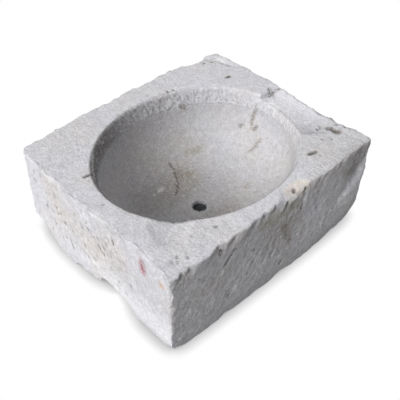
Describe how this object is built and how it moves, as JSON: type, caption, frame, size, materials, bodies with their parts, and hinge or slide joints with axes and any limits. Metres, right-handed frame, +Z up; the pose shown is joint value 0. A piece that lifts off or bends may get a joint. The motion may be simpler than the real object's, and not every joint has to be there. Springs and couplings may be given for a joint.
{
  "type": "stone basin",
  "caption": "Old basin carved from one rectangular block of pale limestone, with an oval bowl, worn and chipped edges and a round outlet through its floor.",
  "frame": {"origin": "on the axis of the outlet, at the underside on which the basin rests", "axes": "+X along the long front and back faces towards the worn right margin, +Y from the front face to the back face, +Z up out of the bowl"},
  "size_m": [0.6181, 0.5357, 0.23],
  "materials": {
    "limestone": "hewn, pecked and worn, unpolished",
    "lead": "dull grey oxide",
    "lime_mortar": "gritty, pale buff"
  },
  "bodies": {
    "root": {"stone_block": "limestone", "outlet_liner": "lead", "liner_bedding": "lime_mortar"}
  },
  "joints": []
}
